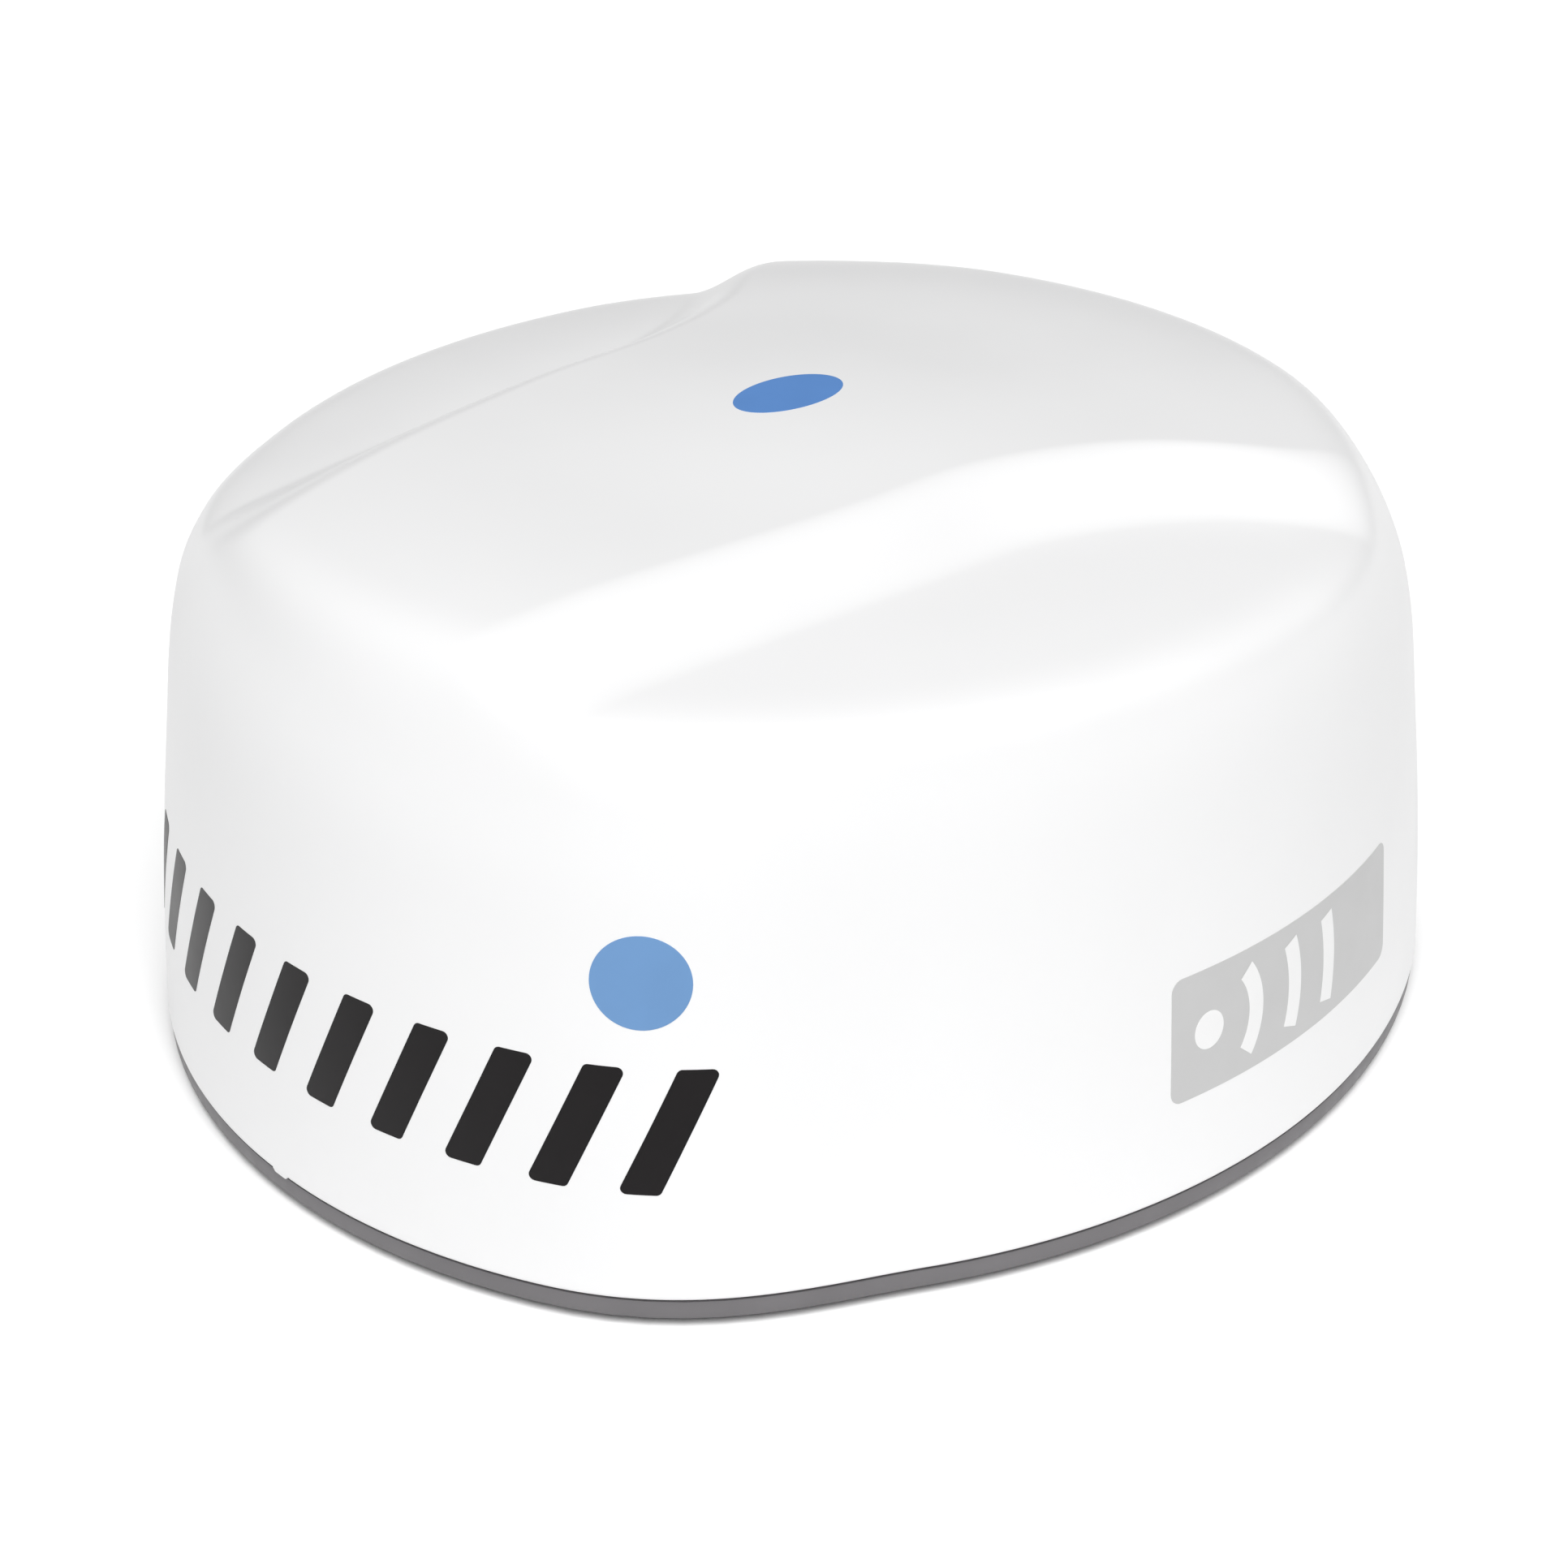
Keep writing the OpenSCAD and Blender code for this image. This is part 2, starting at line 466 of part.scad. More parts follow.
module motor_screws() color("silver") {
    for (x = [-15.5, 15.5]) for (y = [-15.5, 15.5]) translate([motor_x + x, y, 0]) {
        translate([0, 0, 45]) cylinder(r = 1.5, h = 7.5);
        translate([0, 0, 52.5]) cylinder(r = 2.75, h = 2);
    }
    for (x = [62, 82]) for (y = [-30.5, 30.5]) translate([x, y, 0]) {
        translate([0, 0, 36]) cylinder(r = 1.5, h = 5);
        translate([0, 0, deck + 2.5]) cylinder(r = 2.75, h = 2);
    }
}
module motor_shaft() color("silver") translate([motor_x, 0, 19]) cylinder(r = 2.5, h = 50);
module motor_pinion() color("#c9a24a") translate([motor_x, 0, 0]) difference() {
    union() {
        translate([0, 0, 60]) linear_extrude(8) rotate([0, 0, 180 + 180 / pinion_teeth]) polygon(gear_outline(gear_m, pinion_teeth));
        translate([0, 0, 56]) cylinder(r = 7, h = 4.5);
    }
    translate([0, 0, 50]) cylinder(r = 2.5, h = 30);
}

// ---------- microwave parts ----------
module rotary_joint() color("#caa95c") difference() {
    union() {
        translate([-18, -18, 12]) cube([36, 36, 24]);
        translate([0, 0, 36]) cylinder(r = 6, h = 44);
    }
    translate([0, 0, 30]) cylinder(r = 2, h = 60);
    translate([-20, -11.4, 15.5]) cube([30, 22.8, 10.2]);
}
module waveguide() color("#c69a4c") difference() {
    translate([-72, -12.7, 14.2]) cube([54, 25.4, 12.7]);
    translate([-80, -11.4, 15.5]) cube([80, 22.8, 10.2]);
}
module circulator() color("#8a8d92") union() {
    translate([-112, -20, 12]) cube([40, 40, 20]);
    translate([-92, 0, 32]) cylinder(r = 12, h = 3);
    translate([-112, -28, 14]) cube([12, 8, 12]);
}
module magnetron() color("#b7b2a6") union() {
    translate([-108, -22, deck]) cylinder(r = 15, h = 16);
    translate([-108, -22, 35]) cylinder(r = 7, h = 25.5);
    for (z = [42, 46, 50]) translate([-108, -22, z]) cylinder(r = 17, h = 1.5);
}
module magnetron_magnets() color("#4a4b4e") for (s = [-1, 1]) translate([-108 + s * 22.5 - 4, -36, deck]) cube([8, 28, 18]);
module pulse_transformer() color("#5b3a2a") union() {
    translate([-142, 6, deck]) cube([26, 22, 6]);
    translate([-139, 9, deck + 6]) cube([20, 16, 12]);
    translate([-129, 17, deck + 18]) cylinder(r = 5, h = 3);
}
module modulator_board() color("#2f6b3c") union() {
    translate([-110, 2, 42]) cube([28, 24, 1.6]);
    for (x = [-107, -85]) for (y = [5, 23]) translate([x, y, deck]) cylinder(r = 2, h = 3.6);
    for (x = [-103, -92]) translate([x, 14, 43.5]) cylinder(r = 4, h = 12);
}
module transmitter_shield() color("#c5c8cb") difference() {
    translate([-146, -50, deck]) cube([66, 80, 25]);
    translate([-144.8, -48.8, deck - 1]) cube([63.6, 77.6, 24.8]);
    for (x = [-136:10:-90]) translate([x, -10, 50]) cylinder(r = 2, h = 30);
}
module receiver_module() color("#a6a9ad") union() {
    translate([-42, 68, deck]) cube([72, 26, 16]);
    for (x = [-38, 26]) for (y = [72, 90]) translate([x, y, deck + 16]) cylinder(r = 1.8, h = 1.2);
    for (x = [-24, 0, 14]) translate([x, 68.5, deck + 8]) rotate([90, 0, 0]) cylinder(r = 3, h = 5);
}

// ---------- boards ----------
module power_board() color("#2f6b3c") union() {
    translate([-10, -122, 43]) cube([100, 50, 1.6]);
    for (x = [-6, 86]) for (y = [-118, -76]) translate([x, y, deck]) cylinder(r = 2.5, h = 4.6);
    translate([4, -112, 44]) cube([26, 24, 16]);
    for (i = [0:2]) translate([42 + i * 14, -84, 44]) cylinder(r = 5.5, h = 15);
}
module board_heat_sink() color("#55585c") translate([40, -118, 44.6]) union() {
    cube([44, 20, 3]);
    for (i = [0:8]) translate([i * 5.25, 0, 2]) cube([2, 20, 14]);
}
module main_board() color("#1f5a46") union() {
    translate([-98, 26, 20]) cube([196, 98, 1.6]);
    for (p = BOARD_P) translate([p[0], p[1], 0]) {
        translate([0, 0, 9]) cylinder(r = 3, h = 11.2);
        translate([0, 0, 6.1]) cylinder(r = 1.5, h = 3);
        translate([0, 0, 21.4]) cylinder(r = 2.6, h = 1.8);
    }
    translate([-60, 50, 21.5]) cube([24, 24, 2.6]);
    translate([-20, 50, 21.5]) cube([18, 18, 2.2]);
    translate([20, 60, 21.5]) cube([30, 30, 4]);
    for (i = [0:4]) translate([-70 + i * 18, 100, 21.5]) cube([10, 7, 1.8]);
    for (i = [0:2]) translate([68, 60 + i * 16, 21.5]) cylinder(r = 4, h = 9);
    for (x = [-44, 44]) translate([x - 10, 112, 21.5]) cube([20, 10, 8]);
}
module position_sensor() color("#2f6b3c") rotate([0, 0, 22.5]) union() {
    translate([44, -6, deck]) cube([6, 12, 2]);
    translate([45, -5, deck + 1]) cube([1.6, 10, 19]);
    translate([45, -2, 56]) cube([4, 4, 2.5]);
}

// ---------- internal leads ----------
function route_pt(P, i) = P[max(0, min(len(P) - 1, i))];
function route(P, k) = [for (i = [0:len(P) - 2]) for (j = [0:k - 1]) let(t = j / k)
    cr1(route_pt(P, i - 1), P[i], P[i + 1], route_pt(P, i + 2), t), P[len(P) - 1]];
function unit(v) = v / norm(v);
// tube swept along a route that stays close to one vertical fore-and-aft plane
module lead(P, r, sides = 10) {
    Q = route(P, 3);
    n = len(Q);
    pts = [for (i = [0:n - 1]) let(d = unit(Q[min(n - 1, i + 1)] - Q[max(0, i - 1)]),
        e = unit([1, 0, 0] - d[0] * d), f = cross(d, e))
        for (k = [0:sides - 1]) let(a = 360 * k / sides) Q[i] + r * (cos(a) * e + sin(a) * f)];
    faces = concat([[for (k = [0:sides - 1]) k]],
        [for (i = [0:n - 2]) for (k = [0:sides - 1]) let(b = (k + 1) % sides) each
            [[i * sides + k, (i + 1) * sides + k, (i + 1) * sides + b], [i * sides + k, (i + 1) * sides + b, i * sides + b]]],
        [[for (k = [sides - 1:-1:0]) (n - 1) * sides + k]]);
    polyhedron(points = pts, faces = faces, convexity = 6);
}
LEAD = [[28, 178, 24.1], [28, 178, 40], [29, 176, 52], [33, 162, 60], [38, 146, 60], [42, 132, 53], [44, 122, 43], [44, 118, 36], [44, 118, 29.6]];
module power_lead() color("#1d1d1f") lead([for (p = LEAD) [-p[0], p[1], p[2]]], 3);
module network_lead() color("#2c4f86") lead(LEAD, 3);

// ---------- marks applied to the cover ----------
function skin_at(a, zz) = let(f = function(lo, hi, n) n == 0 ? (lo + hi) / 2 : let(mid = (lo + hi) / 2)
    skin(a, mid)[1] < zz ? f(mid, hi, n - 1) : f(lo, mid, n - 1), p = f(0, 0.9, 14)) skin(a, p)[0];
// band on the wall, from azimuth a0 to a1 and height z0 to z1
module wall_patch(a0, a1, z0, z1, n) {
    A = [for (i = [0:n]) a0 + (a1 - a0) * i / n];
    q = 2;
    pts = [for (k = [0, 1]) for (j = [0:q]) for (a = A) let(z = z0 + (z1 - z0) * j / q)
        polar(skin_at(a, z) + (k == 0 ? 0.15 : 0.4), a, z + rim_z)];
    w = n + 1;
    o = w * (q + 1);
    faces = concat(
        [for (j = [0:q - 1]) for (i = [0:n - 1]) each [[o + j * w + i, o + (j + 1) * w + i, o + (j + 1) * w + i + 1], [o + j * w + i, o + (j + 1) * w + i + 1, o + j * w + i + 1]]],
        [for (j = [0:q - 1]) for (i = [0:n - 1]) each [[j * w + i, (j + 1) * w + i + 1, (j + 1) * w + i], [j * w + i, j * w + i + 1, (j + 1) * w + i + 1]]],
        [for (i = [0:n - 1]) each [[i, o + i, o + i + 1], [i, o + i + 1, i + 1]]],
        [for (i = [0:n - 1]) let(b = q * w + i) each [[b, o + b + 1, o + b], [b, b + 1, o + b + 1]]],
        [for (j = [0:q - 1]) let(b = j * w) each [[b, b + w, o + b + w], [b, o + b + w, o + b]]],
        [for (j = [0:q - 1]) let(b = j * w + n) each [[b, o + b + w, b + w], [b, o + b, o + b + w]]]);
    polyhedron(points = pts, faces = faces, convexity = 4);
}
// thin film inside a closed outline E around the centre c, in k rings; at(q, d) lifts a point by d
module film(c, E, k, at) {
    n = len(E);
    Q = [for (j = [1:k]) for (e = E) c + (e - c) * j / k];
    o = n * k;
    r = o - n;
    pts = concat([for (q = Q) at(q, 0.15)], [for (q = Q) at(q, 0.4)], [at(c, 0.15), at(c, 0.4)]);
    polyhedron(points = pts, convexity = 4, faces = concat(
        [for (i = [0:n - 1]) let(b = (i + 1) % n) each [[2 * o, i, b], [2 * o + 1, o + b, o + i], [r + i, o + r + i, o + r + b], [r + i, o + r + b, r + b]]],
        [for (j = [0:1:k - 2]) for (i = [0:n - 1]) let(b = (i + 1) % n, p = j * n, q = p + n) each
            [[p + i, q + i, q + b], [p + i, q + b, p + b], [o + p + i, o + q + b, o + q + i], [o + p + i, o + p + b, o + q + b]]]));
}
function on_wall(q, d) = polar(skin_at(q[0], q[1]) + d, q[0], q[1] + rim_z);
function on_crown(q, d) = [q[0], q[1], sec(1 - norm(q) / 600)[1] + d + rim_z];
// a row of ten slanted bars round the bow, heights 42 to 90 above the rim
BAR = [for (t = [0:3]) [1.2 * t, 12 * t], [4.8, 48], [6.5, 48], for (t = [4:-1:1]) [3.4 + 1.2 * t, 12 * t], [3.4, 0], [1.7, 0]];
module bow_band() color("#262326") for (i = [0:9])
    film([-33 + 7.42 * i + 4.1, 66], [for (k = [len(BAR) - 1:-1:0]) [-33 + 7.42 * i + BAR[k][0], 42 + BAR[k][1]]], 1, function(q, d) on_wall(q, d + 0.12));
module flank_badges() color("#cdcdcd") for (s = [-1, 1])
    wall_patch(s * 100 - 17, s * 100 + 17, 38, 88, 12);
module blue_marks() color("#729fd3") {
    film([35.6, 121], [for (i = [0:23]) [35.6 + 4.1 * cos(15 * i), 121 + 17 * sin(15 * i)]], 2, function(q, d) on_wall(q, d));
    film([0, 0], [for (i = [0:27]) [15 * cos(i * 90 / 7), 25 * sin(i * 90 / 7)]], 3, function(q, d) on_crown(q, d));
}

radome_cover();
cover_flange_ring();
housing_gasket();
lower_housing();
cover_screws();
cover_screw_washers();
cover_inserts();
mounting_inserts();
power_connector();
network_connector();
connector_insulators();
connector_contacts();
connector_nuts();
connector_seals();
vent_plug();
chassis_standoffs();
chassis_plate();
chassis_screws();
bearing_housing();
bearing_outer_race();
bearing_retaining_ring();
bearing_balls();
bearing_cage();
bearing_inner_race();
spindle();
spindle_circlip();
main_gear();
home_magnet();
turntable_screws();
antenna_bracket();
counterweight();
array_back_plate();
array_board();
array_front_cover();
array_screws();
feed_coupler();
feed_coax();
motor_body();
motor_bracket();
motor_screws();
motor_shaft();
motor_pinion();
rotary_joint();
waveguide();
circulator();
magnetron();
magnetron_magnets();
pulse_transformer();
modulator_board();
transmitter_shield();
receiver_module();
power_board();
board_heat_sink();
main_board();
position_sensor();
power_lead();
network_lead();
bow_band();
blue_marks();
flank_badges();
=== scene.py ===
"""Looks for the marine radar dome: smooth cover, printed marks, materials, studio and camera.

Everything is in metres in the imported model's frame: +Z up, bow along -Y, port along +X.
"""
import json
import math

import bpy
import numpy as np
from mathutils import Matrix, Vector


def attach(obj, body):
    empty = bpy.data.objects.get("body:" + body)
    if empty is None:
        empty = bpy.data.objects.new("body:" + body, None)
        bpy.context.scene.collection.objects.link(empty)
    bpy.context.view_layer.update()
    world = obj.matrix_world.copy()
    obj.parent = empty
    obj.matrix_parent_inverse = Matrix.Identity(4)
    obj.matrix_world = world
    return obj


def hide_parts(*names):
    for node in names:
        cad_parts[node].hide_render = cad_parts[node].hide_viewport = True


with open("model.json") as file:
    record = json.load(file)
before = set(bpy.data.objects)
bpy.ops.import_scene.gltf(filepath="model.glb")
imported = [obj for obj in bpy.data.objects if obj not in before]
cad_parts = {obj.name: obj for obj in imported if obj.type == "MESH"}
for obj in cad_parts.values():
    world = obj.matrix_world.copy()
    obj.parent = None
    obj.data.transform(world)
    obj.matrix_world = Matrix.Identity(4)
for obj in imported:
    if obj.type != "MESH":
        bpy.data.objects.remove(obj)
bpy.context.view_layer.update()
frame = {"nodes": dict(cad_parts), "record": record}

scene = bpy.context.scene
nodes = frame["nodes"]
RIM_Z = 12.0

# ------------------------------------------------------------------ camera
AZ, EL, DIST = 47.15, 27.16, 1.2
target = Vector((0.0, 0.0, 0.112))
a, e = math.radians(AZ), math.radians(EL)
back = Vector((math.sin(a) * math.cos(e), -math.cos(a) * math.cos(e), math.sin(e)))
cam_data = bpy.data.cameras.new("camera")
cam_data.sensor_width = 36.0
cam_data.lens = 36.0 * 3694.2 / 1932.0
cam_data.shift_x = (966.0 - 971.4) / 1932.0
cam_data.shift_y = (875.2 - 966.0) / 1932.0
cam_data.clip_start, cam_data.clip_end = 0.05, 60.0
cam = bpy.data.objects.new("camera", cam_data)
scene.collection.objects.link(cam)
cam.location = target + back * DIST
cam.rotation_mode = "QUATERNION"
cam.rotation_quaternion = (-back).to_track_quat("-Z", "Y")
scene.camera = cam

scene.view_settings.view_transform = "Standard"
scene.view_settings.look = "None"
scene.view_settings.exposure = 0.0
scene.view_settings.gamma = 1.0


# ------------------------------------------------------------------ outer surface of the cover, in mm
def spline(x, y, end_slopes=None):
    """C2 cubic through (x, y): natural ends, or the given end slopes (None for natural)."""
    x, y = np.asarray(x, float), np.asarray(y, float)
    n = len(x)
    h = np.diff(x)
    A, b = np.zeros((n, n)), np.zeros(n)
    for i in range(1, n - 1):
        A[i, i - 1], A[i, i], A[i, i + 1] = h[i - 1], 2 * (h[i - 1] + h[i]), h[i]
        b[i] = 6 * ((y[i + 1] - y[i]) / h[i] - (y[i] - y[i - 1]) / h[i - 1])
    s0, s1 = end_slopes or (None, None)
    if s0 is None:
        A[0, 0] = 1
    else:
        A[0, 0], A[0, 1], b[0] = 2 * h[0], h[0], 6 * ((y[1] - y[0]) / h[0] - s0)
    if s1 is None:
        A[-1, -1] = 1
    else:
        A[-1, -1], A[-1, -2], b[-1] = 2 * h[-1], h[-1], 6 * (s1 - (y[-1] - y[-2]) / h[-1])
    M = np.linalg.solve(A, b)

    def f(t):
        t = np.asarray(t, float)
        i = np.clip(np.searchsorted(x, t, side="right") - 1, 0, n - 2)
        d, u = x[i + 1] - x[i], t - x[i]
        v = d - u
        return (M[i] * v ** 3 + M[i + 1] * u ** 3) / (6 * d) + (y[i] / d - M[i] * d / 6) * v + (y[i + 1] / d - M[i + 1] * d / 6) * u

    return f


SECTION = np.array([[254, 0], [251, 45], [246.5, 92], [242, 130], [238, 160], [232.1, 184], [224.4, 203],
                    [215.3, 215.5], [193.2, 223.3], [150, 228.2], [100, 231], [50, 234.2], [0, 235.6]], float)
FLANK = [0, 0, 1, 2.3, 3.7, 6.6, 10.2, 12.7, 10.2, 7, 4, 2, 0]  # extra radius of the flank
ARC = np.concatenate([[0], np.cumsum(np.hypot(*np.diff(SECTION, axis=0).T))])
sec_r = spline(ARC, SECTION[:, 0], (None, -1.0))
sec_z = spline(ARC, SECTION[:, 1], (None, 0.0))
flank_add = spline(ARC, FLANK)
spine_edge = spline(np.arange(-160, 201, 40), [154, 143, 114, 95.5, 87, 85.5, 81, 75, 67.5, 60])
FLANK_DROP, FLANK_R = 18.5, 233.0


def ss(t):
    t = np.clip(t, 0, 1)
    return t * t * (3 - 2 * t)


def skin(az, s):
    """Radius and height above the rim plane at azimuth az (degrees from the bow) and arc length s."""
    az, s = np.broadcast_arrays(np.asarray(az, float), np.asarray(s, float))
    r, z = sec_r(s), sec_z(s)
    b = np.mod(np.abs(az), 360)
    A = np.where(b > 180, 360 - b, b)
    u, v = r * np.sin(np.radians(A)), r * np.cos(np.radians(A))
    m = 1 - ss((z - 180) / 54)
    top = ss((u - spine_edge(np.clip(v, -160, 200))) / 43)
    wall = ss((A - 27.5) / 31.5) * (1 - ss((A - 129) / 30))
    w = top * (1 - m) + wall * m
    k = np.minimum(FLANK_R + 0.0071 * (A - 74) ** 2, 262) / 254
    full = r + flank_add(s) * (1 - ss((A - 107) / 40))
    return r * (1 - w) + full * k * w, z * (1 - w) + z * (1 - FLANK_DROP / 236) * w


def polar(r, az, z):
    """Row-frame metres from radius, azimuth and height above the rim plane in mm."""
    az = np.radians(az)
    return np.stack([r * np.sin(az), -r * np.cos(az), z + RIM_Z + 0 * az], -1) / 1000


GRID_S = np.linspace(0, ARC[-1], 900)


def wall_point(az, z, lift):
    """Points on the wall at azimuths az and heights z, lifted along the radius by lift (mm)."""
    az, z = np.asarray(az, float).ravel(), np.asarray(z, float).ravel()
    r = np.empty_like(az)
    for i in range(len(az)):
        R, Z = skin(az[i], GRID_S[:620])
        r[i] = np.interp(z[i], Z, R)
    return polar(r + lift, az, z)


def crown_point(x, y, lift):
    x, y = np.asarray(x, float), np.asarray(y, float)
    rr = np.hypot(x, y)
    rs, zs = sec_r(GRID_S)[::-1], sec_z(GRID_S)[::-1]
    z = np.interp(rr, rs, zs)
    return np.stack([x, y, z + lift + RIM_Z], -1) / 1000


# ------------------------------------------------------------------ mesh helpers
def mesh_object(name, verts, faces, smooth=True):
    me = bpy.data.meshes.new(name)
    me.from_pydata([tuple(map(float, v)) for v in verts], [], faces)
    me.validate()
    me.update()
    if smooth:
        me.shade_smooth()
    ob = bpy.data.objects.new(name, me)
    scene.collection.objects.link(ob)
    return ob


def sharpen(ob, degrees):
    """Smooth shading with sharp edges above this angle."""
    ob.data.set_sharp_from_angle(angle=math.radians(degrees))


def build_cover():
    """The moulded shell: outer skin, rounded rim, inner wall, and the bow's locating tab."""
    na = 720
    az = np.arange(na) * 360.0 / na
    total = ARC[-1]
    s = np.concatenate([
        np.array([1.2, 2.4, 4, 7, 12, 20]),
        np.linspace(30, 170, 24),
        np.linspace(172, 330, 120),
        np.linspace(332, total - 6, 90),
    ])
    rows = []
    r0, _ = skin(az, 0.0 * az)
    # rim: inner corner, bottom face, rounded outer corner
    kr, kz = 250.0 / 254.0, 232.0 / 236.0
    inner_s = np.concatenate([np.linspace(0, 170, 12), np.linspace(178, 330, 30), np.linspace(345, total - 12, 22)])[::-1]
    for q in inner_s:
        R, Z = skin(az, q + 0 * az)
        rows.append(polar(R * kr, az, Z * kz + (0.35 if q == 0 else 0)))
    rows.append(polar(r0 * kr + 0.35, az, 0 * az))
    rows.append(polar(r0 - 1.0, az, 0 * az))
    rows.append(polar(r0 - 0.42, az, 0.14 + 0 * az))
    rows.append(polar(r0 - 0.16, az, 0.5 + 0 * az))
    for q in s:
        R, Z = skin(az, q + 0 * az)
        rows.append(polar(R, az, Z))
    V = np.concatenate(rows)
    n_rows = len(rows)
    V = list(V) + [(0, 0, (sec_z(total) * kz + RIM_Z) / 1000), (0, 0, (sec_z(total) + RIM_Z) / 1000)]
    ci, co = n_rows * na, n_rows * na + 1
    F = []
    for j in range(n_rows - 1):
        p, q = j * na, (j + 1) * na
        F += [(p + i, p + (i + 1) % na, q + (i + 1) % na, q + i) for i in range(na)]
    F += [(ci, (i + 1) % na, i) for i in range(na)]
    last = (n_rows - 1) * na
    F += [(co, last + i, last + (i + 1) % na) for i in range(na)]
    # locating tab: a thin tongue hanging from the rim at the bow, its face flush with the wall
    ta = np.linspace(-0.62, 1.42, 17)
    drop = -1.1 * ss((1.0 - np.abs((ta - 0.4) / 1.02)) / 0.32)
    base = len(V)
    rt, _ = skin(ta, 0 * ta)
    tab = []
    for rr, zz in ((rt - 0.1, 0.9 + 0 * ta), (rt - 0.06, drop * 0.5 + 0.1), (rt - 0.1, drop + 0.12), (rt - 0.35, drop), (rt - 2.6, drop), (rt - 2.7, 0.9 + 0 * ta)):
        tab.append(polar(rr, ta, zz))
    V += list(np.concatenate(tab))
    nt = len(ta)
    for j in range(6):
        k = (j + 1) % 6
        F += [(base + j * nt + i, base + k * nt + i, base + k * nt + i + 1, base + j * nt + i + 1) for i in range(nt - 1)]
    F.append(tuple(base + j * nt for j in range(6))[::-1])
    F.append(tuple(base + j * nt + nt - 1 for j in range(6)))
    ob = mesh_object("cover_shell", V, F)
    import bmesh
    bm = bmesh.new()
    bm.from_mesh(ob.data)
    bmesh.ops.recalc_face_normals(bm, faces=bm.faces)
    bm.to_mesh(ob.data)
    bm.free()
    ob.data.shade_smooth()
    sharpen(ob, 55)
    return ob


def rounded_outline(points, radius, steps=6):
    """Closed polygon with its corners rounded; points in mm on a flat development."""
    P = [np.array(p, float) for p in points]
    out = []
    for i, p in enumerate(P):
        a, b = P[i - 1] - p, P[(i + 1) % len(P)] - p
        la, lb = np.linalg.norm(a), np.linalg.norm(b)
        a, b = a / la, b / lb
        half = math.acos(max(-1, min(1, float(a @ b)))) / 2
        d = min(radius / math.tan(half), 0.45 * la, 0.45 * lb)
        r = d * math.tan(half)
        c = p + (a + b) / np.linalg.norm(a + b) * (r / math.sin(half))
        p0, p1 = p + a * d, p + b * d
        t0, t1 = math.atan2(*(p0 - c)[::-1]), math.atan2(*(p1 - c)[::-1])
        dt = (t1 - t0 + math.pi) % (2 * math.pi) - math.pi
        out += [c + r * np.array([math.cos(t0 + dt * k / steps), math.sin(t0 + dt * k / steps)]) for k in range(steps + 1)]
    return out


def resample(outline, step):
    out = []
    for i, p in enumerate(outline):
        q = outline[(i + 1) % len(outline)]
        n = max(1, int(np.linalg.norm(q - p) / step))
        out += [p + (q - p) * k / n for k in range(n)]
    return np.array(out)


def film(name, outlines, place, lift=0.1, sink=-0.1, step=2.0, rings=8):
    """Printed film: every closed outline filled with rings round its centre, laid on the skin with a soft edge."""
    V, F = [], []
    for line in outlines:
        E = resample([np.array(p, float) for p in line], step)
        c = E.mean(0)
        n = len(E)
        base = len(V)
        V.extend(place(c[None], lift))
        edge = 0.06
        levels = [(j / rings, lift) for j in range(1, rings)]
        d = np.linalg.norm(E - c, axis=1)[:, None]
        loops = [c + (E - c) * f for f, _ in levels]
        loops.append(E - (E - c) / d * edge)
        loops.append(E)
        heights = [lift] * rings + [sink]
        for L, h in zip(loops, heights):
            V.extend(place(L, h))
        F += [(base, base + 1 + i, base + 1 + (i + 1) % n) for i in range(n)]
        for j in range(len(loops) - 1):
            p, q = base + 1 + j * n, base + 1 + (j + 1) * n
            F += [(p + i, q + i, q + (i + 1) % n, p + (i + 1) % n) for i in range(n)]
    ob = mesh_object(name, V, F)
    import bmesh
    bm = bmesh.new()
    bm.from_mesh(ob.data)
    # outward is away from the dome's axis or up, judged by most of the faces
    f = bm.faces[:][0] if bm.faces else None
    flip = []
    for f in bm.faces:
        c = f.calc_center_median()
        out = Vector((c.x, c.y, max(0.0, c.z - 0.1) * 3))
        if f.normal.dot(out) < 0:
            flip.append(f)
    if len(flip) > len(bm.faces) / 2:
        bmesh.ops.reverse_faces(bm, faces=bm.faces)
    bm.to_mesh(ob.data)
    bm.free()
    ob.data.shade_smooth()
    sharpen(ob, 30)
    return ob


# ------------------------------------------------------------------ pieces that stand for CAD nodes
cover = build_cover()
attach(cover, "root")
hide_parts("radome_cover")

DEG = 4.25  # mm of arc per degree on the wall


def on_wall(p, h):
    return wall_point(p[:, 0] / DEG, p[:, 1], h)


def on_crown(p, h):
    return crown_point(p[:, 0], p[:, 1], h)


bars = []
for i in range(10):
    left = (-33 + 7.42 * i) * DEG
    bars.append(rounded_outline([(left, 42), (left + 3.4 * DEG, 42), (left + 8.2 * DEG, 90), (left + 4.8 * DEG, 90)], 2.2))
bow_bars = film("bow_bars", bars, on_wall)
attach(bow_bars, "root")
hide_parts("bow_band")

circle = [(35.6 * DEG + 17.4 * math.cos(2 * math.pi * k / 72), 121 + 17 * math.sin(2 * math.pi * k / 72)) for k in range(72)]
bow_disc = film("bow_disc", [circle], on_wall)
oval = [(15 * math.cos(2 * math.pi * k / 84), 25 * math.sin(2 * math.pi * k / 84)) for k in range(84)]
heading_oval = film("heading_oval", [oval], on_crown)
for ob in (bow_disc, heading_oval):
    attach(ob, "root")
    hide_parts("blue_marks")

badges, arcs = [], []
for side in (1, -1):
    c = side * 100 * DEG
    w = 17 * DEG
    badges.append(rounded_outline([(c - w, 38), (c + w, 38), (c + w, 88), (c - w, 88)], 5))


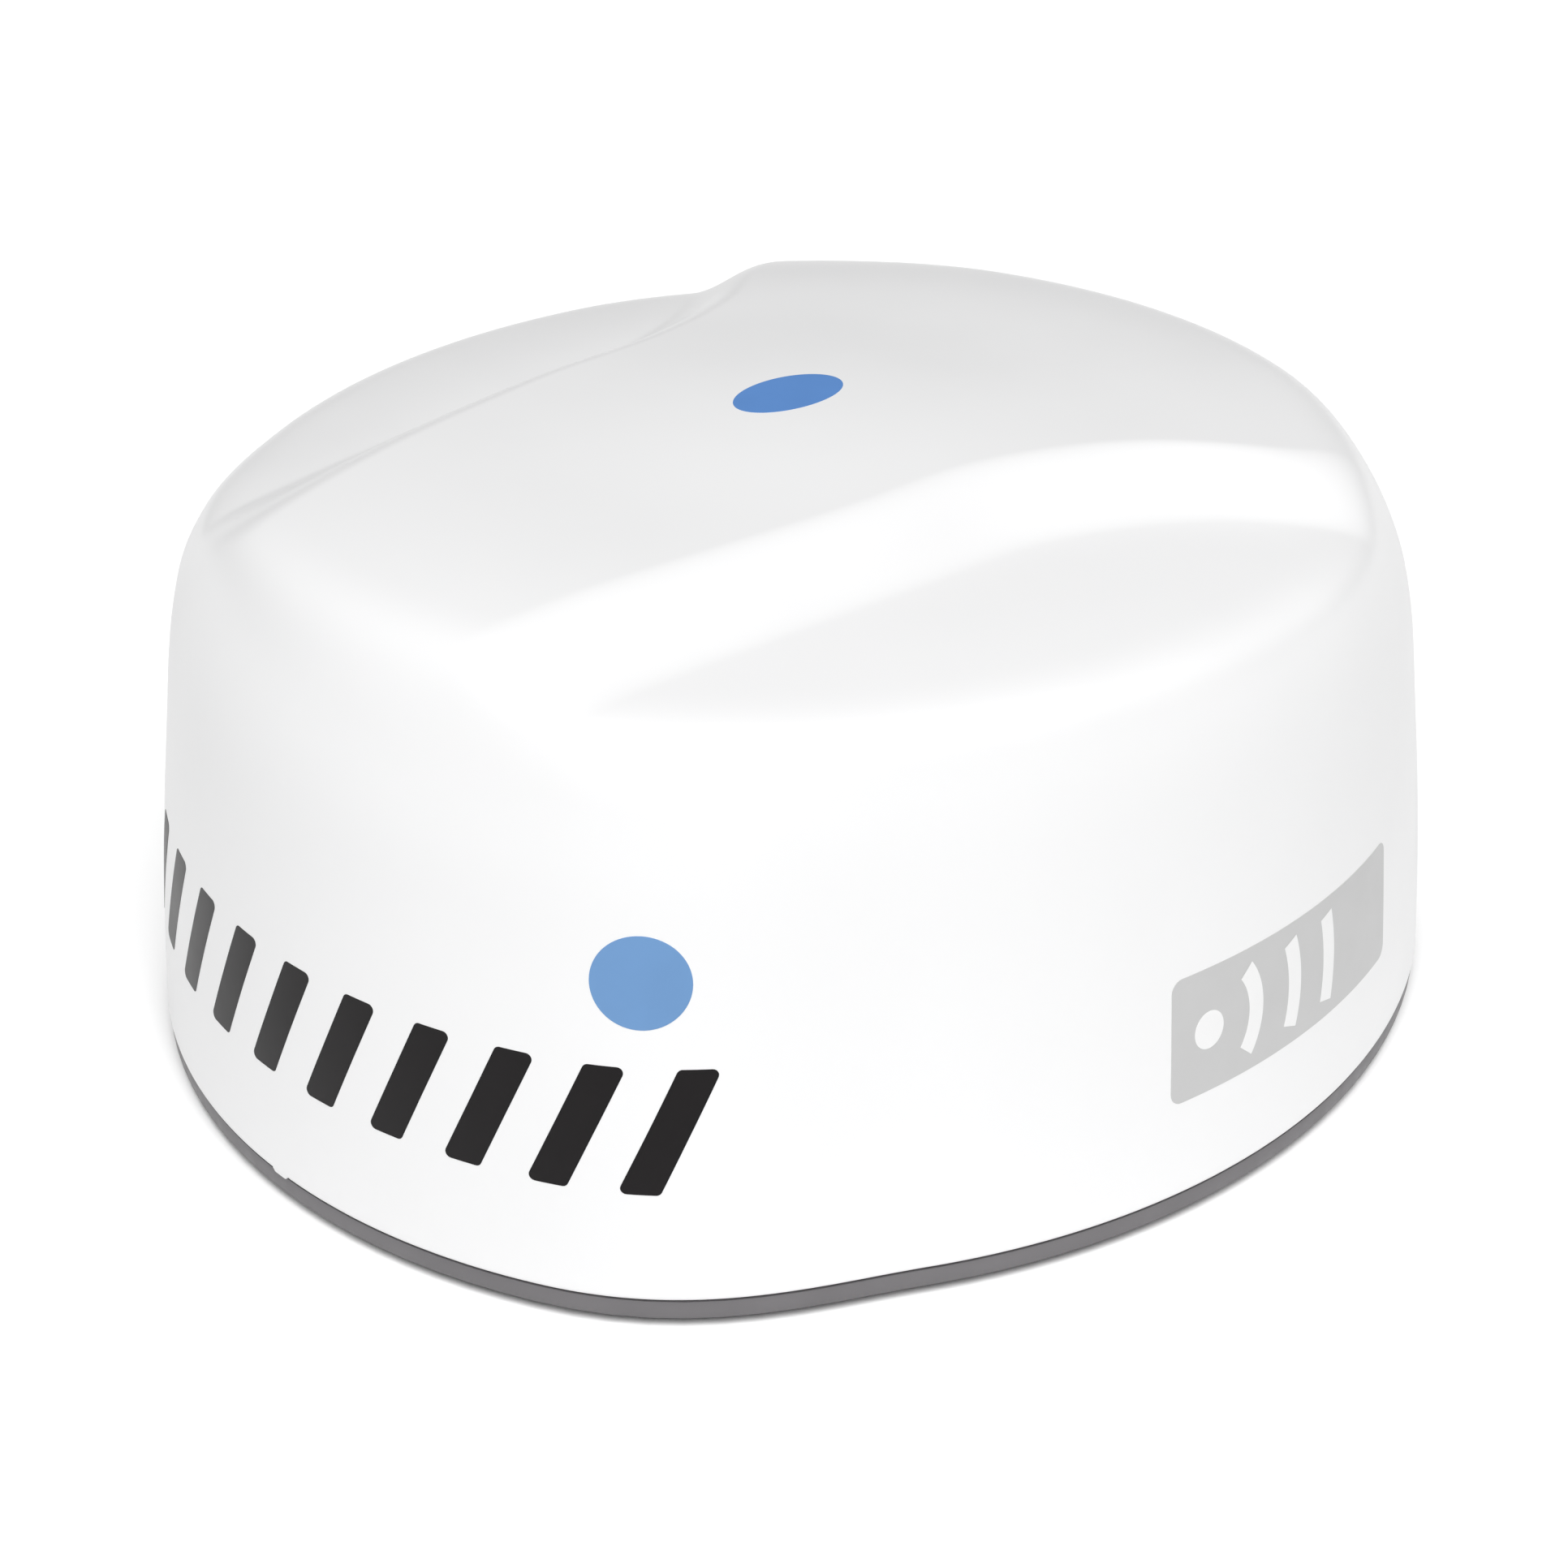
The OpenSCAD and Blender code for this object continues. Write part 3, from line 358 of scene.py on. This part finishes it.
def arc_band(cx, cy, r0, r1, t0, t1, flip, n=28):
    """Closed outline of a circular arc band."""
    o = []
    for r, order in ((r1, range(n + 1)), (r0, range(n, -1, -1))):
        for k in order:
            t = math.radians(t0 + (t1 - t0) * k / n)
            o.append(np.array([cx + flip * r * math.cos(t), cy + r * math.sin(t)]))
    return o


flank_badges = film("flank_badges_film", badges, on_wall, rings=20)
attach(flank_badges, "root")
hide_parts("flank_badges")


def strip(name, bands, place, lift, sink=0.05):
    """Curved strips with a real thickness: each band is (inner line, outer line), same number of points."""
    V, F = [], []
    for inner, outer in bands:
        n = len(inner)
        cols = 5
        base = len(V)
        L = [inner + (outer - inner) * j / (cols - 1) for j in range(cols)]
        for Lj in L:
            V.extend(place(Lj, lift))
        V.extend(place(L[0], sink))
        V.extend(place(L[-1], sink))
        for j in range(cols - 1):
            p, q = base + j * n, base + (j + 1) * n
            F += [(p + i, q + i, q + i + 1, p + i + 1) for i in range(n - 1)]
        s0, s1 = base + cols * n, base + (cols + 1) * n
        F += [(s0 + i, base + i, base + i + 1, s0 + i + 1) for i in range(n - 1)]
        e = base + (cols - 1) * n
        F += [(e + i, s1 + i, s1 + i + 1, e + i + 1) for i in range(n - 1)]
    ob = mesh_object(name, V, F)
    import bmesh
    bm = bmesh.new()
    bm.from_mesh(ob.data)
    bmesh.ops.recalc_face_normals(bm, faces=bm.faces)
    total = sum(f.normal.dot(Vector((f.calc_center_median().x, f.calc_center_median().y, 0))) * f.calc_area() for f in bm.faces)
    if total < 0:
        bmesh.ops.reverse_faces(bm, faces=bm.faces)
    bm.to_mesh(ob.data)
    bm.free()
    ob.data.shade_smooth()
    sharpen(ob, 50)
    return ob


bands = []
for side in (1, -1):
    cx, cy = side * 87.5 * DEG, 63.0
    for r0, r1 in ((0.05, 7.5), (22, 30), (46, 54), (70, 78)):
        span = 180 if r0 < 1 else min(180, math.degrees(math.asin(min(1, 19.0 / r1))))
        t = np.radians(np.linspace(-span, span, 61))
        ring = lambda r: np.stack([cx + side * r * np.cos(t), cy + r * np.sin(t)], -1)
        bands.append((ring(r0), ring(r1)))
badge_arcs = strip("badge_arcs", bands, on_wall, 0.17)
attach(badge_arcs, "root")


# ------------------------------------------------------------------ materials
def material(name):
    m = bpy.data.materials.new(name)
    m.use_nodes = True
    t = m.node_tree
    t.nodes.clear()
    out = t.nodes.new("ShaderNodeOutputMaterial")
    b = t.nodes.new("ShaderNodeBsdfPrincipled")
    t.links.new(b.outputs[0], out.inputs[0])
    return m, t, b


def coords(t, scale=(1, 1, 1), turn=(0, 0, 0)):
    c = t.nodes.new("ShaderNodeTexCoord")
    mp = t.nodes.new("ShaderNodeMapping")
    mp.inputs["Scale"].default_value = scale
    mp.inputs["Rotation"].default_value = turn
    t.links.new(c.outputs["Object"], mp.inputs["Vector"])
    return mp.outputs[0]


def noise(t, vec, scale, detail=3.0, rough=0.55, lac=2.0):
    n = t.nodes.new("ShaderNodeTexNoise")
    n.inputs["Scale"].default_value = scale
    n.inputs["Detail"].default_value = detail
    n.inputs["Roughness"].default_value = rough
    n.inputs["Lacunarity"].default_value = lac
    t.links.new(vec, n.inputs["Vector"])
    return n.outputs["Fac"]


def cells(t, vec, scale, feature="F1"):
    n = t.nodes.new("ShaderNodeTexVoronoi")
    n.feature = feature
    n.inputs["Scale"].default_value = scale
    t.links.new(vec, n.inputs["Vector"])
    return n.outputs["Distance"]


def ramp(t, fac, stops):
    r = t.nodes.new("ShaderNodeValToRGB")
    el = r.color_ramp.elements
    while len(el) < len(stops):
        el.new(0.5)
    for i, (p, c) in enumerate(stops):
        el[i].position = p
        el[i].color = (*c, 1.0) if len(c) == 3 else c
    t.links.new(fac, r.inputs[0])
    return r.outputs[0]


def span(t, fac, lo, hi, a=0.3, b=0.7):
    n = t.nodes.new("ShaderNodeMapRange")
    n.inputs["From Min"].default_value = a
    n.inputs["From Max"].default_value = b
    n.inputs["To Min"].default_value = lo
    n.inputs["To Max"].default_value = hi
    t.links.new(fac, n.inputs["Value"])
    return n.outputs["Result"]


def math_node(t, op, x, y):
    n = t.nodes.new("ShaderNodeMath")
    n.operation = op
    for i, v in enumerate((x, y)):
        if isinstance(v, (int, float)):
            n.inputs[i].default_value = v
        else:
            t.links.new(v, n.inputs[i])
    return n.outputs[0]


def bump(t, b, height, strength, distance, under=None):
    n = t.nodes.new("ShaderNodeBump")
    n.inputs["Strength"].default_value = strength
    n.inputs["Distance"].default_value = distance
    t.links.new(height, n.inputs["Height"])
    if under is not None:
        t.links.new(under, n.inputs["Normal"])
    t.links.new(n.outputs[0], b.inputs["Normal"])
    return n.outputs[0]


def shade(c, k):
    return tuple(max(0.0, min(1.0, x * k)) for x in c)


def plastic(name, base, rough, spread=0.04, grain=900.0, grain_strength=0.05, tone=0.03, coat=0.0, ior=1.47, tint_scale=7.0):
    """Moulded or printed surface: slow tone drift, gloss drift, fine moulding grain."""
    m, t, b = material(name)
    v = coords(t)
    slow = noise(t, v, tint_scale, 4.0)
    col = ramp(t, slow, [(0.3, shade(base, 1 - tone)), (0.5, base), (0.72, shade(base, 1 + tone * 0.7))])
    t.links.new(col, b.inputs["Base Color"])
    t.links.new(span(t, noise(t, v, 23.0, 5.0), rough - spread, rough + spread), b.inputs["Roughness"])
    b.inputs["IOR"].default_value = ior
    b.inputs["Coat Weight"].default_value = coat
    b.inputs["Coat Roughness"].default_value = 0.18
    if grain_strength:
        bump(t, b, noise(t, v, grain, 2.0), grain_strength, 0.00006)
    return m


def metal(name, base, rough, spread=0.06, stretch=(1, 1, 1), grain=600.0, grain_strength=0.12, tone=0.06, metallic=1.0):
    """Machined, brushed or blasted metal: streaks or grain in gloss and relief, slight tarnish."""
    m, t, b = material(name)
    v = coords(t, stretch)
    w = coords(t)
    slow = noise(t, w, 18.0, 5.0)
    col = ramp(t, slow, [(0.28, shade(base, 1 - tone)), (0.55, base), (0.75, shade(base, 1 + tone * 0.6))])
    t.links.new(col, b.inputs["Base Color"])
    b.inputs["Metallic"].default_value = metallic
    g = noise(t, v, grain, 4.0)
    t.links.new(span(t, g, rough - spread, rough + spread), b.inputs["Roughness"])
    bump(t, b, g, grain_strength, 0.00005)
    return m


def rubber(name, base, rough=0.62):
    m, t, b = material(name)
    v = coords(t)
    col = ramp(t, noise(t, v, 60.0, 5.0), [(0.3, shade(base, 0.8)), (0.7, shade(base, 1.25))])
    t.links.new(col, b.inputs["Base Color"])
    t.links.new(span(t, noise(t, v, 300.0, 3.0), rough - 0.08, rough + 0.1), b.inputs["Roughness"])
    bump(t, b, noise(t, v, 1800.0, 2.0), 0.25, 0.00006)
    return m


def powder(name, base, rough=0.5):
    """Powder-coated casting: orange-peel cells under a satin sheen."""
    m, t, b = material(name)
    v = coords(t)
    col = ramp(t, noise(t, v, 40.0, 6.0), [(0.3, shade(base, 0.93)), (0.5, base), (0.72, shade(base, 1.06))])
    t.links.new(col, b.inputs["Base Color"])
    t.links.new(span(t, noise(t, v, 160.0, 4.0), rough - 0.06, rough + 0.07), b.inputs["Roughness"])
    n1 = bump(t, b, noise(t, v, 700.0, 3.0), 0.16, 0.00012)
    bump(t, b, cells(t, v, 1500.0), 0.08, 0.00005, n1)
    return m


def board(name, base, top):
    """Circuit laminate: solder mask with tracks, darker above the component plane z = top (m)."""
    m, t, b = material(name)
    v = coords(t)
    c = t.nodes.new("ShaderNodeTexCoord")
    sep = t.nodes.new("ShaderNodeSeparateXYZ")
    t.links.new(c.outputs["Object"], sep.inputs[0])
    tracks = t.nodes.new("ShaderNodeTexVoronoi")
    tracks.distance = "MANHATTAN"
    tracks.inputs["Scale"].default_value = 160.0
    t.links.new(v, tracks.inputs["Vector"])
    line = math_node(t, "GREATER_THAN", math_node(t, "FRACT", math_node(t, "MULTIPLY", tracks.outputs["Distance"], 4.0), 0.0), 0.72)
    mask = ramp(t, noise(t, v, 90.0, 4.0), [(0.3, shade(base, 0.85)), (0.7, shade(base, 1.15))])
    mix = t.nodes.new("ShaderNodeMix")
    mix.data_type = "RGBA"
    t.links.new(line, mix.inputs["Factor"])
    t.links.new(mask, mix.inputs[6])
    mix.inputs[7].default_value = (*shade(base, 1.9), 1.0)
    parts = ramp(t, cells(t, v, 120.0), [(0.0, (0.02, 0.02, 0.022)), (0.5, (0.05, 0.05, 0.052)), (1.0, (0.09, 0.09, 0.09))])
    above = math_node(t, "GREATER_THAN", sep.outputs["Z"], top)
    mix2 = t.nodes.new("ShaderNodeMix")
    mix2.data_type = "RGBA"
    t.links.new(above, mix2.inputs["Factor"])
    t.links.new(mix.outputs[2], mix2.inputs[6])
    t.links.new(parts, mix2.inputs[7])
    t.links.new(mix2.outputs[2], b.inputs["Base Color"])
    t.links.new(span(t, noise(t, v, 220.0, 3.0), 0.3, 0.48), b.inputs["Roughness"])
    bump(t, b, line, 0.2, 0.00005)
    return m


def winding(name, base):
    m, t, b = material(name)
    v = coords(t)
    w = t.nodes.new("ShaderNodeTexWave")
    w.bands_direction = "Z"
    w.inputs["Scale"].default_value = 320.0
    w.inputs["Distortion"].default_value = 0.6
    t.links.new(v, w.inputs["Vector"])
    col = ramp(t, w.outputs["Fac"], [(0.2, shade(base, 0.6)), (0.6, base), (1.0, shade(base, 1.5))])
    t.links.new(col, b.inputs["Base Color"])
    t.links.new(span(t, noise(t, v, 90.0), 0.3, 0.5), b.inputs["Roughness"])
    bump(t, b, w.outputs["Fac"], 0.4, 0.0002)
    return m


WHITE = (0.775, 0.775, 0.778)
MATS = {
    "white_shell": plastic("gelcoat_white", WHITE, 0.312, 0.02, 900.0, 0.0, 0.012, 0.0, 1.58),
    "white_ring": plastic("satin_white", (0.70, 0.70, 0.69), 0.45),
    "seal_rubber": rubber("seal_rubber", (0.018, 0.018, 0.02)),
    "grey_casting": powder("powder_grey", (0.134, 0.128, 0.134), 0.46),
    "stainless": metal("stainless", (0.62, 0.62, 0.63), 0.34, 0.05, (1, 1, 14), 420.0, 0.1),
    "brass": metal("brass_turned", (0.66, 0.48, 0.2), 0.35, 0.06, (1, 1, 12), 420.0, 0.1),
    "connector_metal": metal("anodised_grey", (0.30, 0.30, 0.31), 0.38, 0.06, (1, 1, 10), 500.0, 0.12, 0.08),
    "black_plastic": plastic("black_plastic", (0.022, 0.022, 0.024), 0.42, 0.06, 1300.0, 0.2, 0.2),
    "gold_contact": metal("gold_plate", (0.78, 0.55, 0.19), 0.2, 0.04),
    "sheet_metal": metal("sheet_brushed", (0.60, 0.61, 0.63), 0.36, 0.08, (1, 18, 1), 260.0, 0.14),
    "cast_alloy": metal("blasted_alloy", (0.50, 0.51, 0.53), 0.5, 0.07, (1, 1, 1), 900.0, 0.3),
    "bearing_steel": metal("ground_steel", (0.66, 0.67, 0.69), 0.16, 0.05, (1, 1, 20), 600.0, 0.05, 0.03),
    "cage_bronze": metal("bronze", (0.50, 0.33, 0.14), 0.34, 0.06),
    "gear_resin": plastic("acetal", (0.72, 0.70, 0.62), 0.42, 0.05, 1200.0, 0.1, 0.05),
    "magnet": metal("sintered_magnet", (0.22, 0.22, 0.23), 0.5, 0.08, (1, 1, 1), 1200.0, 0.3, 0.1),
    "circuit_board": board("board_main", (0.012, 0.11, 0.045), 0.0217),
    "array_cover": plastic("array_white", (0.74, 0.74, 0.72), 0.4, 0.05, 700.0, 0.1, 0.04),
    "winding": winding("winding", (0.16, 0.065, 0.03)),
    "black_anodised": metal("black_anodised", (0.03, 0.03, 0.033), 0.42, 0.06, (1, 1, 8), 420.0, 0.15, 0.15, 0.8),
    "lead_black": rubber("lead_black", (0.016, 0.016, 0.018), 0.5),
    "lead_blue": rubber("lead_blue", (0.02, 0.07, 0.22), 0.5),
    "mark_charcoal": plastic("film_charcoal", (0.0055, 0.0042, 0.0048), 0.36, 0.04, 1500.0, 0.0, 0.15, 0.0, 1.28, 30.0),
    "mark_blue": plastic("film_blue", (0.095, 0.235, 0.545), 0.34, 0.04, 1500.0, 0.0, 0.04, 0.0, 1.45, 30.0),
    "mark_grey": plastic("film_grey", (0.490, 0.490, 0.490), 0.36, 0.04, 1500.0, 0.0, 0.03, 0.0, 1.45, 30.0),
}
board_power = board("board_power", (0.012, 0.11, 0.045), 0.0447)
board_modulator = board("board_modulator", (0.012, 0.11, 0.045), 0.0438)
board_array = board("board_array", (0.012, 0.10, 0.05), 0.5)
film_light = plastic("film_light_blue", (0.125, 0.265, 0.500), 0.34, 0.04, 1500.0, 0.0, 0.04, 0.0, 1.45, 30.0)
film_white = plastic("film_white", (0.78, 0.78, 0.78), 0.34, 0.04, 1500.0, 0.0, 0.02, 0.0, 1.45, 30.0)


def dress(ob, mat):
    ob.data.materials.clear()
    ob.data.materials.append(mat)
    for p in ob.data.polygons:
        p.material_index = 0


slot_of = {s["node"]: s["material_slot"] for s in frame["record"]["subparts"]}
special = {"power_board": board_power, "modulator_board": board_modulator, "array_board": board_array, "position_sensor": board_array}
EDGE = {"lower_housing": 0.35, "cover_flange_ring": 0.3, "power_connector": 0.3, "network_connector": 0.3, "vent_plug": 0.3,
        "cover_screws": 0.25, "connector_nuts": 0.3, "mounting_inserts": 0.25, "cover_inserts": 0.2, "connector_insulators": 0.2,
        "transmitter_shield": 0.25, "motor_body": 0.4, "array_front_cover": 0.4, "counterweight": 0.3, "receiver_module": 0.3,
        "bearing_housing": 0.3, "circulator": 0.3, "magnetron": 0.2}
for name, ob in nodes.items():
    dress(ob, special.get(name) or MATS[slot_of[name]])
    if ob.hide_render:
        continue
    # tidy shading: weld the split corners, then a fine machined or moulded edge
    for attr in ("custom_normal",):
        if attr in ob.data.attributes:
            ob.data.attributes.remove(ob.data.attributes[attr])
    weld = ob.modifiers.new("weld", "WELD")
    weld.merge_threshold = 0.000004
    width = EDGE.get(name)
    if width:
        bev = ob.modifiers.new("edge", "BEVEL")
        bev.width = width / 1000
        bev.segments = 2
        bev.limit_method = "ANGLE"
        bev.angle_limit = math.radians(40)
        bev.harden_normals = False
        bev.use_clamp_overlap = True
    ob.data.shade_smooth()
    ob.data.set_sharp_from_angle(angle=math.radians(32))

dress(cover, MATS["white_shell"])
dress(bow_bars, MATS["mark_charcoal"])
dress(bow_disc, film_light)
dress(heading_oval, MATS["mark_blue"])
dress(flank_badges, MATS["mark_grey"])
dress(badge_arcs, film_white)

# ------------------------------------------------------------------ studio
floor_n = 24
fl = 14.0
FV = [((i / floor_n - 0.5) * fl, (j / floor_n - 0.5) * fl, -0.0001) for j in range(floor_n + 1) for i in range(floor_n + 1)]
FF = [(j * (floor_n + 1) + i, j * (floor_n + 1) + i + 1, (j + 1) * (floor_n + 1) + i + 1, (j + 1) * (floor_n + 1) + i) for j in range(floor_n) for i in range(floor_n)]
floor = mesh_object("studio_floor", FV, FF)
fm, ft, fb = material("studio_floor")
fv = coords(ft)
ft.links.new(ramp(ft, noise(ft, fv, 1.5, 3.0), [(0.3, (0.925, 0.925, 0.925)), (0.7, (0.94, 0.94, 0.94))]), fb.inputs["Base Color"])
fb.inputs["Roughness"].default_value = 0.9
fb.inputs["Specular IOR Level"].default_value = 0.1
dress(floor, fm)


def sun(name, az, el, strength, angle, color=(1, 1, 1)):
    d = bpy.data.lights.new(name, "SUN")
    d.energy = strength
    d.angle = math.radians(angle)
    d.color = color
    o = bpy.data.objects.new(name, d)
    scene.collection.objects.link(o)
    a, e = math.radians(az), math.radians(el)
    v = Vector((math.sin(a) * math.cos(e), -math.cos(a) * math.cos(e), math.sin(e)))
    o.rotation_mode = "QUATERNION"
    o.rotation_quaternion = v.to_track_quat("Z", "Y")
    o.location = v * 3
    return o


sun("key", 52, 61, 3.75, 50)

world = bpy.data.worlds.new("studio")
scene.world = world
world.use_nodes = True
wt = world.node_tree
wt.nodes.clear()
wo = wt.nodes.new("ShaderNodeOutputWorld")
mixs = wt.nodes.new("ShaderNodeMixShader")
lp = wt.nodes.new("ShaderNodeLightPath")
light_bg = wt.nodes.new("ShaderNodeBackground")
light_bg.inputs["Color"].default_value = (1, 1, 1, 1)
light_bg.inputs["Strength"].default_value = 0.15
seen_bg = wt.nodes.new("ShaderNodeBackground")
seen_bg.inputs["Color"].default_value = (1, 1, 1, 1)
seen_bg.inputs["Strength"].default_value = 1.05
wt.links.new(lp.outputs["Is Camera Ray"], mixs.inputs[0])
wt.links.new(light_bg.outputs[0], mixs.inputs[1])
wt.links.new(seen_bg.outputs[0], mixs.inputs[2])
wt.links.new(mixs.outputs[0], wo.inputs["Surface"])
